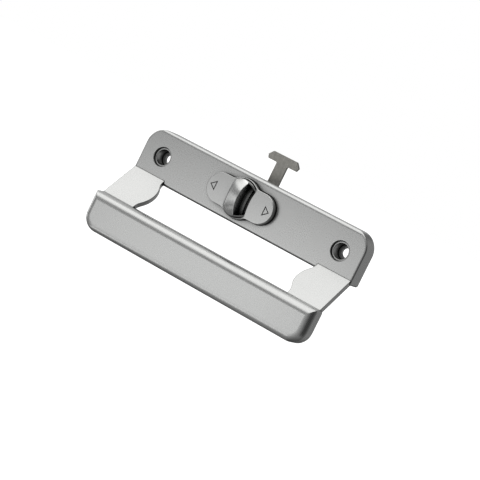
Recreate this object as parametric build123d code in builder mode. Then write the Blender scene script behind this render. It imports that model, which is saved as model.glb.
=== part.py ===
from build123d import *
import math
import os

os.makedirs("parts", exist_ok=True)

# Sliding door lock handle: a die-cast pull with a thumb slider that drives a T-shaped steel tongue.
# Millimetres. X runs along the handle, Z up towards the tongue, the front faces -Y.
# The origin lies on the mounting plane, midway between the two screw holes.

# Handle casting: mounting plate
handle_length = 122.4
plate_height = 23.45
plate_depth = 8.6
plate_wall = 2.2
plate_corner_r = 8.6
plate_edge_r = 0.8  # of the ends and the top corners
plate_top_edge_r = 1.8
plate_bottom_edge_r = 1.2
hole_rise = 11.5  # screw hole line above the plate's bottom edge

# Handle casting: stepped screw holes and their bosses
hole_spacing = 100.0
screw_hole_d = 4.3
head_bore_d = 7.2
head_bore_floor = 2.0
recess_d = 9.1
recess_depth = 1.2
boss_d = 11.0
rib_thickness = 1.6
rail_recess = 2.4  # guide rails end this far inside the mounting plane

# Handle casting: the two arms
bend_rise = 2.2  # bend line above the plate's bottom edge
arm_slope = 46.3  # degrees below the plate's normal
arm_thickness = 2.65
arm_side_inset = 0.4  # of each arm's outer edge from the plate's end
arm_root_half_gap = 43.4  # half the window's width at the bend line
arm_swell = 2.95  # how far each arm's inner edge swells into the window
arm_swell_along = 10.95  # place of that swell, down the slope from the bend line
arm_swell_r = 12.0
arm_root_r = 6.8
arm_foot_r = 0.9
arm_back_edge_r = 0.6  # of each arm's inner edge, at the back

# Handle casting: grip
grip_length = 123.1
grip_drop = 15.9  # top of the grip below the bend line
grip_height = 17.8
grip_depth = 8.2
grip_reach = 30.0  # front of the grip from the mounting plane
grip_wall = 2.4
grip_corner_r = 7.4
grip_top_edge_r = 4.2
grip_edge_r = 3.4
grip_end_edge_r = 1.2  # of the ends' top edges
grip_inner_r = 1.5
grip_rib_pitch = 26.0
grip_rib_count = 4
grip_rib_recess = 1.5

# Thumb slider
slide_travel = 7.0
slider_length = 36.0
slider_width = 14.1
slider_thickness = 2.9
slider_edge_r = 0.3
slide_gap = 0.15  # running gap between the slider and the plate
middle_r = 9.4  # round middle of the slider's outline
middle_blend_r = 4.0
crown_r = 8.8  # foot of the raised crown
crown_draft = 6.0
crown_height = 5.0  # at the middle of its crest
crown_shoulder = 2.0  # height of the crest's arch above the crown's foot
crown_edge_r = 0.35
ramp_start = -5.65  # edge where the ramp leaves the slider's flat
ramp_foot_height = 0.7  # of the ramp's low arch there, at its middle
ramp_foot_shoulder = -0.4
crest_place = 1.25
crest_bow_r = 30.0
crest_edge_r = 0.2
scoop_lean = 0.5
scoop_r = 1.6
scoop_depth = 1.4
scoop_exit = 5.5
scoop_rim = 0.7  # foot of the thin wall left round the scoop
wall_fall = 40.0  # degrees by which that wall falls from the crest
wall_end = 6.0
arrow_tip = 16.4
arrow_base = 13.4
arrow_half_height = 2.3
arrow_line = 0.35
arrow_depth = 0.25
stem_block_length = 13.0  # block under the slider that passes through the plate
stem_block_width = 5.0
slot_clearance = 0.25
slot_corner_r = 0.8

# Tongue, bent from steel strip
strip = 1.5
strip_inner_r = 1.0
tongue_foot_length = 20.0
tongue_foot_width = 9.0
tongue_stem_width = 5.8
tongue_stand_off = 11.0  # front of the stem behind the mounting plane
tongue_neck = 2.0  # height on the foot where the stem's width starts
tongue_corner_r = 0.5
head_top = 25.0
head_bottom = 20.9
head_width = 17.0
head_tip_rise = 1.8
head_flat = 12.9
head_bottom_flat = 15.6
guide_clearance = 0.25

# Friction spring
spring_thickness = 0.4
spring_space = 1.2  # between the plate's inner face and the tongue's foot
spring_end_gap = 0.5  # from the ends of the tongue's foot
spring_clearance = 0.05
detent_r = 2.0
detent_depth = 0.3

# Tongue screws
tongue_screw_d = 2.5
tongue_screw_head_d = 4.4
tongue_screw_head = 1.6
tongue_screw_head_r = 0.5
tongue_screw_pitch = 8.0
tongue_screw_drop = 0.5
tongue_screw_reach = 3.8
thread_clearance = 0.03
screw_clearance = 0.1
recess_width = 0.7  # cross recess in the screw's head
recess_length = 2.6
recess_cut = 0.8

# Places that follow from the sizes
plate_bottom = -hole_rise
plate_top = plate_bottom + plate_height
plate_middle = (plate_bottom + plate_top) / 2
inner_face = plate_depth - plate_wall  # of the front wall, ahead of the mounting plane
bend_z = plate_bottom + bend_rise
slope = math.radians(arm_slope)
arm_length = grip_drop / math.sin(slope)
arm_side = handle_length / 2 - arm_side_inset
grip_top = bend_z - grip_drop
grip_middle = grip_top - grip_height / 2
grip_back = grip_reach - grip_depth
slider_rest = -slide_travel / 2
slider_back = plate_depth + slide_gap
slider_front = slider_back + slider_thickness
foot_front = inner_face - spring_space
foot_back = foot_front - strip
spring_half = tongue_foot_length / 2 - spring_end_gap
guide_half = tongue_foot_width / 2 + guide_clearance
guide_length = tongue_foot_length + slide_travel + 2 * slot_clearance
stem_back = tongue_stand_off + strip
leg_bottom = tongue_foot_width / 2 - strip
slot_length = stem_block_length + slide_travel + 2 * slot_clearance
slot_width = stem_block_width + 2 * slot_clearance

arm_up = Vector(math.cos(slope), math.sin(slope))
arm_knee = Vector(-plate_depth, bend_z) - arm_length * arm_up
arm_foot_run = arm_foot_r * math.tan(slope / 2)

front_plane = Plane.XZ.offset(plate_depth)
inner_plane = Plane.XZ.offset(inner_face)
arm_plane = Plane(
    origin=(0, -plate_depth, bend_z),
    x_dir=(1, 0, 0),
    z_dir=(0, -math.sin(slope), math.cos(slope)),
)
slider_face = Plane(origin=(slider_rest, -slider_front, 0), x_dir=(1, 0, 0), z_dir=(0, -1, 0))
slider_underside = slider_face.offset(-slider_thickness)
slider_section = Plane(origin=slider_face.origin, x_dir=(1, 0, 0), z_dir=(0, 0, -1))
ramp_foot_plane = Plane(
    origin=slider_face.origin + Vector(ramp_start, 0, 0), x_dir=(0, 0, 1), z_dir=(1, 0, 0)
)
ramp_top_plane = ramp_foot_plane.offset(wall_end - ramp_start)


# The two arms, drawn on their slanting front face
with BuildPart() as arms:
    swell_turn = math.acos(1 - arm_swell / (arm_swell_r + arm_root_r))
    swell_half = (arm_swell_r + arm_root_r) * math.sin(swell_turn)
    crown_half = arm_swell_r * math.sin(swell_turn)
    inflection_x = arm_root_half_gap - arm_root_r * (1 - math.cos(swell_turn))
    with BuildSketch(arm_plane):
        with BuildLine():
            upper = Line((arm_root_half_gap, 0), (arm_root_half_gap, swell_half - arm_swell_along))
            root = TangentArc(
                upper @ 1, (inflection_x, crown_half - arm_swell_along), tangent=upper % 1
            )
            swell = TangentArc(
                root @ 1, (inflection_x, -crown_half - arm_swell_along), tangent=root % 1
            )
            foot = TangentArc(
                swell @ 1, (arm_root_half_gap, -swell_half - arm_swell_along), tangent=swell % 1
            )
            Polyline(
                foot @ 1,
                (arm_root_half_gap, -arm_length),
                (arm_side, -arm_length),
                (arm_side, 0),
                upper @ 0,
            )
        make_face()
        mirror(about=Plane.YZ)
    extrude(amount=-arm_thickness)
    arm_backs = faces().filter_by(arm_plane).group_by(Axis((0, 0, 0), arm_plane.z_dir))[0]
    fillet(
        arm_backs.edges().filter_by_position(
            Axis.X, -arm_root_half_gap - 0.01, arm_root_half_gap + 0.01
        ),
        arm_back_edge_r,
    )

# Handle casting: hollow plate, two arms and a hollow grip in one piece
with BuildPart() as handle_casting:
    # Mounting plate
    with BuildSketch(Plane.XZ):
        with Locations((0, plate_middle)):
            Rectangle(handle_length, plate_height)
        fillet(vertices().group_by(Axis.Y)[-1], plate_corner_r)
    extrude(amount=plate_depth)
    front_rim = faces().sort_by(Axis.Y)[0].edges().sort_by(Axis.Z)
    fillet(front_rim[1:], plate_edge_r)
    front_rim = faces().sort_by(Axis.Y)[0].edges().sort_by(Axis.Z)
    fillet(front_rim[0], plate_bottom_edge_r)

    # Grip with its rounded front
    with BuildSketch(Plane.XZ.offset(grip_back)):
        with Locations((0, grip_middle)):
            Rectangle(grip_length, grip_height)
        fillet(vertices().group_by(Axis.Y)[0], grip_corner_r)
    extrude(amount=grip_depth)
    grip_rim = faces().sort_by(Axis.Y)[0].edges().sort_by(Axis.Z)
    fillet(grip_rim[:-1], grip_edge_r)

    # Top front edges of the plate and the grip, rounded straight along X
    with BuildSketch(Plane.YZ):
        for front, top, edge_r in (
            (-plate_depth, plate_top, plate_top_edge_r),
            (-grip_reach, grip_top, grip_top_edge_r),
        ):
            with Locations((front, top)):
                Rectangle(edge_r, edge_r, align=(Align.MIN, Align.MAX))
            with Locations((front + edge_r, top - edge_r)):
                Circle(edge_r, mode=Mode.SUBTRACT)
    extrude(amount=grip_length / 2, both=True, mode=Mode.SUBTRACT)
    # Top edges of the grip's ends, rounded along Y
    with BuildSketch(Plane.XZ.offset(grip_back)):
        with Locations((-grip_length / 2, grip_top)):
            Rectangle(grip_end_edge_r, grip_end_edge_r, align=(Align.MIN, Align.MAX))
        with Locations((grip_end_edge_r - grip_length / 2, grip_top - grip_end_edge_r)):
            Circle(grip_end_edge_r, mode=Mode.SUBTRACT)
        mirror(about=Plane.YZ)
    extrude(amount=grip_depth, mode=Mode.SUBTRACT)

    add(arms.part)

    # Concave rounding where each arm runs into the grip
    with BuildSketch(Plane.YZ.offset(arm_root_half_gap)):
        with BuildLine():
            down_arm = Line(
                arm_knee + arm_foot_run * arm_up, arm_knee, mode=Mode.PRIVATE
            )
            toe = TangentArc(down_arm @ 0, arm_knee - Vector(arm_foot_run, 0), tangent=down_arm % 0)
            Polyline(toe @ 1, arm_knee, toe @ 0)
        make_face()
    toes = extrude(amount=arm_side - arm_root_half_gap)
    mirror(toes, about=Plane.YZ)

    # Hollow back of the plate, with its screw bosses, guide rails and ribs
    with BuildSketch(Plane.XZ):
        with Locations((0, plate_middle)):
            Rectangle(handle_length - 2 * plate_wall, plate_height - 2 * plate_wall)
        fillet(vertices().group_by(Axis.Y)[-1], plate_corner_r - plate_wall)
        with GridLocations(hole_spacing, 0, 2, 1):
            Circle(boss_d / 2, mode=Mode.SUBTRACT)
            Rectangle(rib_thickness, 2 * plate_height, mode=Mode.SUBTRACT)
        with GridLocations(guide_length + rib_thickness, 0, 2, 1):
            Rectangle(rib_thickness, 2 * plate_height, mode=Mode.SUBTRACT)
        with GridLocations(0, 2 * guide_half + rib_thickness, 1, 2):
            Rectangle(guide_length, rib_thickness, mode=Mode.SUBTRACT)
    extrude(amount=inner_face, mode=Mode.SUBTRACT)
    # The tongue's way out: rails and ribs between them stop short of the mounting plane
    with BuildSketch(Plane.XZ):
        with Locations((0, guide_half)):
            Rectangle(guide_length, 2 * rib_thickness + 2 * guide_clearance)
    extrude(amount=rail_recess, mode=Mode.SUBTRACT)

    # Slot for the slider's block, and two detent grooves beside it
    with BuildSketch(inner_plane):
        Rectangle(slot_length, slot_width)
        fillet(vertices(), slot_corner_r)
    extrude(amount=plate_wall, mode=Mode.SUBTRACT)
    with Locations((0, detent_r - detent_depth - inner_face, 0)):
        with GridLocations(slide_travel, 0, 2, 1):
            Cylinder(detent_r, 2 * guide_half, mode=Mode.SUBTRACT)

    # Stepped screw holes
    with Locations(front_plane):
        with GridLocations(hole_spacing, 0, 2, 1):
            CounterBoreHole(
                screw_hole_d / 2, head_bore_d / 2, plate_depth - head_bore_floor, plate_depth
            )
            Hole(recess_d / 2, recess_depth)

    # Hollow back of the grip, crossed by ribs
    with BuildSketch(Plane.XZ.offset(grip_back)):
        with Locations((0, grip_middle)):
            Rectangle(grip_length - 2 * grip_wall, grip_height - 2 * grip_wall)
        fillet(vertices().group_by(Axis.Y)[0], grip_corner_r - grip_wall)
    extrude(amount=grip_depth - grip_wall, mode=Mode.SUBTRACT)
    grip_floor = faces().filter_by(Axis.Y).filter_by_position(
        Axis.Y, grip_wall - grip_reach - 0.01, grip_wall - grip_reach + 0.01
    )
    fillet(grip_floor.edges(), grip_inner_r)
    with BuildSketch(Plane.XZ.offset(grip_back + grip_rib_recess)):
        with Locations((0, grip_middle)):
            with GridLocations(grip_rib_pitch, 0, grip_rib_count, 1):
                Rectangle(rib_thickness, grip_height - 2 * grip_wall + grip_inner_r)
    extrude(amount=grip_depth - grip_wall)

handle_casting.part.label = "handle_casting"
export_step(handle_casting.part, "parts/handle_casting.step")


# Finger scoop of the slider: the shape that it takes away, bowed like the crest
with BuildPart() as scoop:
    with BuildSketch(slider_section):
        with BuildLine():
            crest_side = Line(
                (crest_place, 2 * crown_height),
                (crest_place + scoop_lean, scoop_r - scoop_depth),
            )
            scoop_floor = TangentArc(
                crest_side @ 1,
                (crest_place + scoop_lean + scoop_r, -scoop_depth),
                tangent=crest_side % 1,
            )
            Polyline(
                scoop_floor @ 1,
                (scoop_exit, 0),
                (2 * crown_r, 0),
                (2 * crown_r, 2 * crown_height),
                crest_side @ 0,
            )
        make_face()
    revolve(axis=Axis((slider_rest + crest_place + crest_bow_r, 0, 0), (0, 1, 0)))
    with BuildSketch(slider_face.offset(-slider_thickness)):
        Circle(crown_r - scoop_rim)
    extrude(amount=slider_thickness + 2 * crown_height, mode=Mode.INTERSECT)

# Raised crown of the slider: an arched ramp, cut to a tapering round, with the scoop behind its crest
with BuildPart() as crown:
    arch_scale = (wall_end - ramp_start) / (crest_place - ramp_start)
    for ramp_plane, rise in ((ramp_foot_plane, 0), (ramp_top_plane, arch_scale)):
        shoulder = ramp_foot_shoulder + rise * (crown_shoulder - ramp_foot_shoulder)
        with BuildSketch(ramp_plane):
            with BuildLine():
                arch = ThreePointArc(
                    (-crown_r, shoulder),
                    (0, ramp_foot_height + rise * (crown_height - ramp_foot_height)),
                    (crown_r, shoulder),
                )
                Polyline(
                    arch @ 1, (crown_r, -slider_thickness / 2),
                    (-crown_r, -slider_thickness / 2), arch @ 0
                )
            make_face()
    loft(ruled=True)
    with BuildSketch(slider_face.offset(-slider_edge_r)):
        Circle(crown_r)
    extrude(amount=arch_scale * crown_height, taper=crown_draft, mode=Mode.INTERSECT)
    ramp = faces().filter_by(GeomType.BSPLINE).sort_by(SortBy.AREA)[-1]
    fillet(ramp.edges().filter_by(GeomType.BSPLINE), crown_edge_r)
    # Thin wall beside the scoop, falling from the crest to the slider's flat
    with BuildSketch(slider_section):
        with BuildLine():
            fall = PolarLine((wall_end, 0), crown_r * 2, 180 - wall_fall)
            Polyline(
                fall @ 1, (2 * crown_r, (fall @ 1).Y), (2 * crown_r, 0), fall @ 0
            )
        make_face()
    over_wall = extrude(amount=crown_r, both=True, mode=Mode.PRIVATE)
    with BuildSketch(slider_face):
        Circle(crown_r - scoop_rim)
    inside_wall = extrude(amount=2 * crown_height, mode=Mode.PRIVATE)
    add(over_wall - inside_wall, mode=Mode.SUBTRACT)
    add(scoop.part, mode=Mode.SUBTRACT)
    ramp = faces().filter_by(GeomType.BSPLINE).sort_by(SortBy.AREA)[-1]
    fillet(ramp.edges().sort_by(SortBy.LENGTH)[-1], crest_edge_r)

# Thumb slider with the block that passes through the plate
with BuildPart() as thumb_slider:
    with BuildSketch(slider_underside):
        SlotOverall(slider_length, slider_width)
        Circle(middle_r)
        fillet(
            vertices().filter_by_position(Axis.X, -middle_r, middle_r), middle_blend_r
        )
    extrude(amount=slider_thickness)
    fillet(faces().sort_by(Axis.Y)[0].edges(), slider_edge_r)
    add(scoop.part, mode=Mode.SUBTRACT)
    add(crown.part)
    with BuildSketch(slider_face):
        with Locations((arrow_tip, 0), Location((-arrow_tip, 0), 180)):
            Polygon(
                (0, 0), (arrow_base - arrow_tip, arrow_half_height),
                (arrow_base - arrow_tip, -arrow_half_height), align=None
            )
        offset(amount=-arrow_line, kind=Kind.INTERSECTION, mode=Mode.SUBTRACT)
    extrude(amount=-arrow_depth, mode=Mode.SUBTRACT)
    with BuildSketch(slider_underside):
        Rectangle(stem_block_length, stem_block_width)
        fillet(vertices(), slot_corner_r - slot_clearance)
    extrude(amount=foot_front - slider_back)
    with Locations(slider_face.offset(foot_front - slider_front)):
        with Locations((0, -tongue_screw_drop)):
            with GridLocations(tongue_screw_pitch, 0, 2, 1):
                with Locations(Location((0, 0, 0), (180, 0, 0))):
                    Hole(tongue_screw_d / 2, tongue_screw_reach)

thumb_slider.part.label = "thumb_slider"
export_step(thumb_slider.part, "parts/thumb_slider.step")

# Tongue: one strip bent back from its foot, then up into the stem with the T-shaped head
with BuildPart() as tongue:
    with BuildSketch(Plane.YZ.offset(slider_rest)):
        with BuildLine():
            Polyline(
                (-foot_front, -tongue_foot_width / 2),
                (-foot_front, leg_bottom + strip),
                (tongue_stand_off, leg_bottom + strip),
                (tongue_stand_off, head_top),
                (stem_back, head_top),
                (stem_back, leg_bottom),
                (-foot_back, leg_bottom),
                (-foot_back, -tongue_foot_width / 2),
                close=True,
            )
        make_face()
        bends = vertices().filter_by_position(Axis.Y, leg_bottom - 0.01, leg_bottom + strip + 0.01)
        outer_bends = [bends.sort_by(Axis.X)[0], bends.sort_by(Axis.X)[-1]]
        inner_bends = bends.sort_by(Axis.X)[1:-1]
        fillet(outer_bends, strip_inner_r + strip)
        fillet(
            vertices().filter_by(lambda v: v in inner_bends), strip_inner_r
        )
    extrude(amount=head_width, both=True)
    with BuildSketch(Plane.XZ.offset(foot_front).shift_origin((slider_rest, -foot_front, 0))):
        with Locations((0, -tongue_foot_width / 2)):
            Rectangle(
                tongue_foot_length, tongue_foot_width / 2 + tongue_neck,
                align=(Align.CENTER, Align.MIN),
            )
            Rectangle(
                tongue_stem_width, tongue_foot_width / 2 + head_bottom,
                align=(Align.CENTER, Align.MIN),
            )
        with BuildLine():
            Polyline(
                (-head_bottom_flat / 2, head_bottom),
                (head_bottom_flat / 2, head_bottom),
                (head_width / 2, head_bottom + head_tip_rise),
                (head_flat / 2, head_top),
                (-head_flat / 2, head_top),
                (-head_width / 2, head_bottom + head_tip_rise),
                close=True,
            )
        make_face()
        fillet(vertices(), tongue_corner_r)
        with Locations((0, -tongue_screw_drop)):
            with GridLocations(tongue_screw_pitch, 0, 2, 1):
                Circle(tongue_screw_d / 2 + screw_clearance, mode=Mode.SUBTRACT)
    extrude(amount=-foot_front - stem_back, mode=Mode.INTERSECT)

tongue.part.label = "tongue"
export_step(tongue.part, "parts/tongue.step")

# Friction spring: a bowed leaf between the plate and the tongue's foot, open round the block
with BuildPart() as friction_spring:
    with BuildSketch(Plane((slider_rest, -foot_front, 0))):
        with BuildLine():
            outer_bow = ThreePointArc(
                (-spring_half, -spring_thickness),
                (0, spring_clearance - spring_space),
                (spring_half, -spring_thickness),
            )
            inner_bow = ThreePointArc(
                (spring_half, 0),
                (0, spring_clearance + spring_thickness - spring_space),
                (-spring_half, 0),
            )
            Line(outer_bow @ 1, inner_bow @ 0)
            Line(inner_bow @ 1, outer_bow @ 0)
        make_face()
    extrude(amount=tongue_foot_width / 2, both=True)
    with BuildSketch(slider_underside):
        Rectangle(
            stem_block_length + 2 * slot_clearance, stem_block_width + 2 * slot_clearance
        )
    extrude(amount=-slider_back, mode=Mode.SUBTRACT)

friction_spring.part.label = "friction_spring"
export_step(friction_spring.part, "parts/friction_spring.step")

# Two screws that hold the tongue's foot to the slider's block
with BuildPart() as tongue_screws:
    with Locations(slider_face.offset(foot_back - slider_front)):
        with Locations((0, -tongue_screw_drop)):
            with GridLocations(tongue_screw_pitch, 0, 2, 1):
                Cylinder(
                    tongue_screw_d / 2 - thread_clearance, strip + tongue_screw_reach,
                    align=(Align.CENTER, Align.CENTER, Align.MIN),
                )
                Cylinder(
                    tongue_screw_head_d / 2, tongue_screw_head,
                    align=(Align.CENTER, Align.CENTER, Align.MAX),
                )
    fillet(faces().sort_by(Axis.Y)[-2:].edges(), tongue_screw_head_r)
    with BuildSketch(slider_face.offset(foot_back - tongue_screw_head - slider_front)):
        with Locations((0, -tongue_screw_drop)):
            with GridLocations(tongue_screw_pitch, 0, 2, 1):
                Rectangle(recess_length, recess_width)
                Rectangle(recess_width, recess_length)
    extrude(amount=recess_cut, mode=Mode.SUBTRACT)

tongue_screws.part.label = "tongue_screws"
export_step(tongue_screws.part, "parts/tongue_screws.step")
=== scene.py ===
"""Sliding door lock handle: looks of the cast handle, its thumb slider and the steel tongue behind it.

In order: shader values, the metals, the dressed CAD nodes, the studio with its floor, world, lamps
and flags, and the camera at the photograph's angle.
"""

import math

import bpy
import numpy as np
from mathutils import Matrix, Vector

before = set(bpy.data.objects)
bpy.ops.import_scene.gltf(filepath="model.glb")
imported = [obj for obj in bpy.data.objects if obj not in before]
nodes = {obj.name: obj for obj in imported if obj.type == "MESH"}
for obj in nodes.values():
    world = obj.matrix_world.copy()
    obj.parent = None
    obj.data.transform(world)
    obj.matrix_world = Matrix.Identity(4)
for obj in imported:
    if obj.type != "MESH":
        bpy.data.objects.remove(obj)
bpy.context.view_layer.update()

MM = 0.001

# Sockets of a colour Mix node, by number because its other data types use the same names
MIX_FACTOR, MIX_LOW, MIX_HIGH, MIX_COLOUR = 0, 6, 7, 2


class Value:
    """One socket of a shader tree. Arithmetic on values adds the Math nodes that work it out."""

    def __init__(self, tree, socket=None):
        self.tree = tree
        self.socket = socket

    def node(self, kind, settings=None, inputs=None, output=0):
        """Adds a node of any type: first its settings, then the values or links of its sockets."""
        made = self.tree.nodes.new(kind)
        for name, setting in (settings or {}).items():
            setattr(made, name, setting)
        for name, value in (inputs or {}).items():
            if isinstance(value, Value):
                self.tree.links.new(value.socket, made.inputs[name])
            else:
                made.inputs[name].default_value = value
        return Value(self.tree, made.outputs[output])

    def math(self, operation, *others, first=None):
        """A Math node on this value and others, or on a given first operand and others."""
        operands = (self if first is None else first,) + others
        return self.node("ShaderNodeMath", {"operation": operation}, dict(enumerate(operands)))

    def __add__(self, other):
        return self.math("ADD", other)

    __radd__ = __add__

    def __sub__(self, other):
        return self.math("SUBTRACT", other)

    def __rsub__(self, other):
        return self.math("SUBTRACT", self, first=other)

    def __mul__(self, other):
        return self.math("MULTIPLY", other)

    __rmul__ = __mul__

    def clamped(self, low, high):
        """The value moved to 0..1 between low and high, and held there outside them."""
        return self.node("ShaderNodeMapRange", None, {"Value": self, "From Min": low, "From Max": high})

    def facing(self, direction):
        """How far this normal points along a direction or another normal: their dot product."""
        inputs = {0: self, 1: direction}
        return self.node("ShaderNodeVectorMath", {"operation": "DOT_PRODUCT"}, inputs, output="Value")

    def grain(self, place, size, detail=2.0, roughness=0.5):
        """Noise about 0.5 with lumps of the given size in metres."""
        return self.node(
            "ShaderNodeTexNoise",
            None,
            {"Vector": place, "Scale": 1.0 / size, "Detail": detail, "Roughness": roughness},
        )

    def open_sky(self, reach, samples):
        """How much of the sky over the surface is open within reach, from 0 to 1."""
        return self.node(
            "ShaderNodeAmbientOcclusion", {"samples": samples}, {"Distance": reach}, output="AO"
        )

    def crevice_shading(self, reach, low, high, painted_shade):
        """Painted shade in hollows: 1 in the open, and down to 1 minus the last argument where the sky
        within reach falls from high to low.
        """
        return 1 - painted_shade * (1 - self.open_sky(reach, samples=12).clamped(low, high))

    def mixed(self, low, high):
        """The colour between low and high at this value."""
        return self.node(
            "ShaderNodeMix",
            {"data_type": "RGBA"},
            {MIX_FACTOR: self, MIX_LOW: low + (1.0,), MIX_HIGH: high + (1.0,)},
            output=MIX_COLOUR,
        )


def new_tree(name):
    """An empty node material: its first value, which carries the tree, and its Principled shader."""
    material = bpy.data.materials.new(name)
    material.use_nodes = True
    tree = material.node_tree
    return material, Value(tree), tree.nodes["Principled BSDF"]


def feed(shader, **sockets):
    """Links values to the Principled shader's sockets, and sets plain numbers and colours on them."""
    for name, value in sockets.items():
        socket = shader.inputs[name.replace("_", " ")]
        if isinstance(value, Value):
            value.tree.links.new(value.socket, socket)
        else:
            socket.default_value = value


# Blasted castings: how large their grain and the slow drift of their tone are, and where painted shade
# darkens them
GRAIN_SIZE = 0.36 * MM
DRIFT_SIZE = 14 * MM
GRIP_TOP = (-20 * MM, -16 * MM)  # heights between which the grip ends and the arms begin
DOWNWARDS = (0.18, 0.8)  # normal along straight down, from no painted underside shade to full shade
EDGE_TURN = (0.004, 0.14)  # 1 - rounded normal along the smooth one, from flat to edge


def satin_metal(
    name, dark, light, contrast, rough, bump_depth, edge_radius, edge_shade, underside_shade, gaps, bores
):
    """Blasted and coated die casting: fine grain, slow tone drift, softened edges, painted shade in
    crevices.

    Tone runs from dark to light by contrast times the fine noise plus a fifth of the slow drift.
    The normal is rounded over edge_radius, and the edge mask is how far that turns it. Painted shade
    darkens edges, narrow gaps, deep bores and undersides: gaps and bores are the arguments of the
    Value method that paints shade in hollows, and the underside argument has the grip's own value and
    that of all above it.
    """
    material, value, shader = new_tree(name)
    place = value.node("ShaderNodeTexCoord", output="Object")
    fine = value.grain(place, GRAIN_SIZE, detail=3.0, roughness=0.6)
    drift = value.grain(place, DRIFT_SIZE)
    normal = value.node("ShaderNodeNewGeometry", output="Normal")
    rounded = value.node("ShaderNodeBevel", {"samples": 6}, {"Radius": edge_radius})
    edge = (1 - rounded.facing(normal)).clamped(*EDGE_TURN)
    tone = 0.5 + contrast * (fine - 0.5) + 0.2 * (drift - 0.5) + 0.1 * edge

    # Painted shade on undersides, at the grip's strength there and at another strength above it
    on_grip, above_grip = underside_shade
    above = value.node("ShaderNodeSeparateXYZ", None, {"Vector": place}, output="Z").clamped(*GRIP_TOP)
    down = normal.facing((0.0, 0.0, -1.0)).clamped(*DOWNWARDS)
    underside = down * (on_grip + (above_grip - on_grip) * above)
    # Painted shade in narrow gaps and deep bores, where ambient occlusion finds the sky hidden
    creases = value.crevice_shading(**gaps) * value.crevice_shading(**bores)
    # Painted shade along edges too; all of it darkens the colour below
    shade = creases * (1 - underside) * (1 - edge_shade * edge)
    feed(
        shader,
        Base_Color=value.node(
            "ShaderNodeVectorMath",
            {"operation": "SCALE"},
            {0: tone.clamped(0.0, 1.0).mixed(dark, light), "Scale": shade},
        ),
        Metallic=1.0,
        Roughness=(rough + 0.12 * (fine - 0.5) + 0.06 * (drift - 0.5)).clamped(0.0, 1.0),
        Normal=value.node(
            "ShaderNodeBump",
            None,
            {"Strength": 0.35, "Distance": bump_depth, "Height": fine, "Normal": rounded},
        ),
    )
    return material


def stamped_steel(name, dark, light, rough):
    """Bare stamped strip: mottled grey with rolling streaks along Z and painted shade in crevices.

    Tone runs from dark to light by streaks, mottle and fine noise in shares that add up to 1, less
    the painted shade in crevices, and stays off both ends.
    """
    material, value, shader = new_tree(name)
    place = value.node("ShaderNodeTexCoord", output="Object")
    rolled = value.node("ShaderNodeMapping", None, {"Vector": place, "Scale": (1.0, 1.0, 0.12)})
    streaks = value.grain(rolled, 0.45 * MM, detail=3.0, roughness=0.6)
    mottle = value.grain(place, 1.6 * MM, detail=4.0, roughness=0.65)
    fine = value.grain(place, 0.22 * MM)
    # Painted shade in crevices, where ambient occlusion finds the sky hidden
    crevice_shade = 1 - value.open_sky(5 * MM, samples=6).clamped(0.2, 0.9)
    tone = (0.35 * streaks + 0.45 * mottle + 0.2 * fine - 0.4 * crevice_shade).clamped(0.15, 0.75)
    feed(
        shader,
        Base_Color=tone.mixed(dark, light),
        Metallic=1.0,
        Roughness=(rough + 0.18 * (mottle - 0.5) + 0.1 * (fine - 0.5)).clamped(0.0, 1.0),
        Normal=value.node(
            "ShaderNodeBump",
            None,
            {"Strength": 0.4, "Distance": 0.03 * MM, "Height": mottle + 0.5 * streaks},
        ),
    )
    return material


def dress(name, material):
    """Gives a CAD node's object the material in each of its slots."""
    slots = nodes[name].material_slots
    for slot in slots:
        slot.material = material
    if not slots:
        nodes[name].data.materials.append(material)


# Both metals get painted shade at edges, in gaps and bores and on undersides, in the amounts below
casting_satin = satin_metal(
    "casting_satin",
    dark=(0.38, 0.384, 0.38),
    light=(0.62, 0.624, 0.617),
    contrast=0.5,
    rough=0.28,
    bump_depth=0.004 * MM,
    edge_radius=0.45 * MM,
    edge_shade=0.9,
    underside_shade=(0.65, 0.97),
    gaps={"reach": 0.5 * MM, "low": 0.84, "high": 0.98, "painted_shade": 0.85},
    bores={"reach": 4.5 * MM, "low": 0.36, "high": 0.80, "painted_shade": 0.76},
)
slider_satin = satin_metal(
    "slider_satin",
    dark=(0.40, 0.404, 0.40),
    light=(0.60, 0.604, 0.597),
    contrast=0.45,
    rough=0.24,
    bump_depth=0.001 * MM,
    edge_radius=0.18 * MM,
    edge_shade=0.6,
    underside_shade=(0.5, 0.5),
    gaps={"reach": 0.9 * MM, "low": 0.7, "high": 0.98, "painted_shade": 0.94},
    bores={"reach": 4.5 * MM, "low": 0.5, "high": 0.94, "painted_shade": 0.97},
)
tongue_steel = stamped_steel("tongue_steel", (0.16, 0.157, 0.146), (0.50, 0.49, 0.455), rough=0.42)
screw_steel = stamped_steel("screw_steel", (0.35, 0.35, 0.34), (0.62, 0.62, 0.60), rough=0.28)
spring_steel = stamped_steel("spring_steel", (0.22, 0.22, 0.215), (0.45, 0.45, 0.44), rough=0.30)

dress("handle_casting", casting_satin)
dress("thumb_slider", slider_satin)
dress("tongue", tongue_steel)
dress("tongue_screws", screw_steel)
dress("friction_spring", spring_steel)


def sheet_mesh(name, points, material):
    """A stage piece over a grid of points, one quad to each cell."""
    rows, columns = points.shape[:2]
    corner = (np.arange(rows - 1)[:, None] * columns + np.arange(columns - 1)[None]).ravel()
    faces = np.stack([corner, corner + 1, corner + columns + 1, corner + columns], axis=1)
    mesh = bpy.data.meshes.new(name)
    mesh.from_pydata(points.reshape(-1, 3).tolist(), [], faces.tolist())
    sheet = bpy.data.objects.new(name, mesh)
    bpy.context.scene.collection.objects.link(sheet)
    mesh.materials.append(material)
    return sheet


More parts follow.
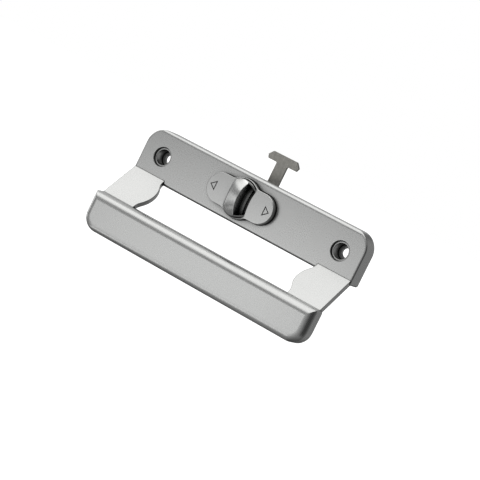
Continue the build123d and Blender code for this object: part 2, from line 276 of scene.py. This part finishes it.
def seen(tree):
    """1 on what the camera sees, by itself, in reflections or through glass, and 0 for other light."""
    path = tree.nodes.new("ShaderNodeLightPath")
    rays = ("Is Camera Ray", "Is Glossy Ray", "Is Transmission Ray")
    camera, glossy, glass = (Value(tree, path.outputs[ray]) for ray in rays)
    return camera.math("MAXIMUM", glossy).math("MAXIMUM", glass)


# Floor: pale, far enough below to keep only a soft shadow, and lifted to white where it is seen
FLOOR_HEIGHT = -0.26
FLOOR_REACH = 9.0
FLOOR_LIFT = (0.65, 0.65, 0.65)

floor_material, floor_value, floor_shader = new_tree("floor_pale")
feed(
    floor_shader,
    Base_Color=(0.9, 0.9, 0.9, 1),
    Roughness=1.0,
    Specular_IOR_Level=0.0,
    Emission_Color=seen(floor_value.tree).mixed((0.0, 0.0, 0.0), FLOOR_LIFT),
    Emission_Strength=1.0,
)
span = np.linspace(-FLOOR_REACH, FLOOR_REACH, 2)
east, north = np.meshgrid(span, span, indexing="ij")
sheet_mesh("floor", np.stack([east, north, np.full_like(east, FLOOR_HEIGHT)], axis=2), floor_material)

# World: even light, white where it is seen
WORLD_LIGHT = (0.7, 0.7, 0.7)
WORLD_SEEN = (1.0, 1.0, 1.0)

world = bpy.data.worlds.new("studio")
bpy.context.scene.world = world
world.use_nodes = True
sky = world.node_tree.nodes["Background"]
sky_colour = seen(world.node_tree).mixed(WORLD_LIGHT, WORLD_SEEN)
world.node_tree.links.new(sky_colour.socket, sky.inputs["Color"])
sky.inputs["Strength"].default_value = 1.0

LAMP_COLOUR = (1.0, 0.992, 0.975)


def softbox(name, toward, distance, width, height, level):
    """An area lamp that faces the object from a direction; level is its brightness, 1 being white."""
    lamp = bpy.data.lights.new(name, "AREA")
    lamp.shape = "RECTANGLE"
    lamp.size = width
    lamp.size_y = height
    lamp.energy = level * width * height * math.pi
    lamp.color = LAMP_COLOUR
    box = bpy.data.objects.new(name, lamp)
    bpy.context.scene.collection.objects.link(box)
    out = Vector(toward).normalized()
    box.location = distance * out
    box.rotation_euler = out.to_track_quat("Z", "Y").to_euler()


softbox("top_box", (-0.25, -0.25, 1.0), distance=0.75, width=1.3, height=1.0, level=0.60)
softbox("left_box", (-1.0, 0.1, 0.50), distance=0.8, width=0.9, height=0.5, level=0.85)

FLAG_MIDDLE = np.array([0.0, -0.015, -0.012])
FLAG_COLUMNS, FLAG_ROWS = 25, 13


def flag(name, azimuths, elevations, radius, levels):
    """A grey studio flag that only reflections see, bent round the handle.

    Point = middle + radius * (cos(e) sin(a), -cos(e) cos(a), sin(e)), with the azimuth a counted
    from the front towards +X and the elevation e from level upwards, both in degrees. Its
    brightness runs evenly from the first level to the last one along the azimuth.
    """
    around, rise = np.meshgrid(
        np.radians(np.linspace(*azimuths, FLAG_COLUMNS)),
        np.radians(np.linspace(*elevations, FLAG_ROWS)),
        indexing="ij",
    )
    points = FLAG_MIDDLE + radius * np.stack(
        [np.cos(rise) * np.sin(around), -np.cos(rise) * np.cos(around), np.sin(rise)], axis=2
    )
    material, value, shader = new_tree(name)
    across = value.node("ShaderNodeAttribute", {"attribute_name": "across"}, output="Fac")
    first, last = ((level,) * 3 for level in levels)
    feed(
        shader,
        Base_Color=(0, 0, 0, 1),
        Roughness=1.0,
        Specular_IOR_Level=0.0,
        Emission_Color=across.mixed(first, last),
        Emission_Strength=1.0,
    )
    sheet = sheet_mesh(name, points, material)
    shares = np.broadcast_to(np.linspace(0.0, 1.0, FLAG_COLUMNS)[:, None], around.shape)
    sheet.data.attributes.new("across", "FLOAT", "POINT").data.foreach_set("value", shares.ravel())
    sheet.visible_camera = False
    sheet.visible_diffuse = False
    sheet.visible_shadow = False
    sheet.visible_transmission = False


# Flags for the faces and fillets that look forward, to the left, to the right, back and down
flag("front_gap", (-80, 8), (-1, 30), 0.40, (0.40, 0.40))
flag("front_face", (-60, -12), (-11, 0), 0.402, (0.86, 1.56))
flag("front_low", (-50, -12), (-54, -9), 0.41, (1.05, 1.05))
flag("left_gap", (-128, -80), (0, 10), 0.40, (0.42, 0.42))
flag("left_mid", (-84, -43), (-54, 0), 0.40, (0.25, 0.50))
flag("left_low", (-110, -84), (-54, -24), 0.40, (0.40, 0.45))
flag("left_end", (-128, -110), (-54, 0), 0.40, (0.30, 0.30))
flag("right_flag", (-12, 64), (-75, 35), 0.42, (0.74, 0.07))
flag("right_high_flag", (15, 140), (35, 60), 0.42, (0.45, 0.15))
flag("side_flag", (64, 100), (-75, 35), 0.42, (0.07, 0.07))
flag("far_right_flag", (100, 145), (-75, 35), 0.42, (0.07, 0.28))
flag("back_right_flag", (145, 172), (-60, 30), 0.44, (0.34, 0.34))
flag("back_flag", (172, 235), (-12, 12), 0.44, (0.38, 0.38))
flag("back_high_flag", (140, 190), (12, 62), 0.45, (0.10, 0.22))
flag("back_left_high_flag", (190, 262), (12, 62), 0.45, (0.55, 0.75))
flag("low_back_flag", (165, 235), (-60, -14), 0.24, (0.22, 0.22))
flag("low_left_flag", (235, 285), (-60, -20), 0.24, (0.40, 0.40))
flag("under_flag", (-170, -30), (-89, -50), 0.245, (0.60, 0.60))
flag("under_right_flag", (-30, 40), (-89, -50), 0.245, (0.60, 0.38))
flag("under_back_flag", (40, 190), (-89, -50), 0.245, (0.32, 0.20))
flag("low_right_flag", (0, 165), (-52, -32), 0.25, (0.50, 0.14))

# Camera at the photograph's angle: where it stands, and which way its right, up and back point
CAMERA_VIEW = math.radians(15.28)
CAMERA_PLACE = (0.36415, -0.70966, 0.04496)
CAMERA_RIGHT = (0.78245, 0.44008, 0.44057)
CAMERA_UP = (-0.42500, -0.13970, 0.89435)
CAMERA_BACK = (0.45514, -0.88702, 0.07773)

camera = bpy.data.cameras.new("camera")
camera.angle = CAMERA_VIEW
viewer = bpy.data.objects.new("camera", camera)
bpy.context.scene.collection.objects.link(viewer)
turn = Matrix((CAMERA_RIGHT, CAMERA_UP, CAMERA_BACK)).transposed().to_4x4()
viewer.matrix_world = Matrix.Translation(CAMERA_PLACE) @ turn
bpy.context.scene.camera = viewer
bpy.context.scene.view_settings.view_transform = "Standard"
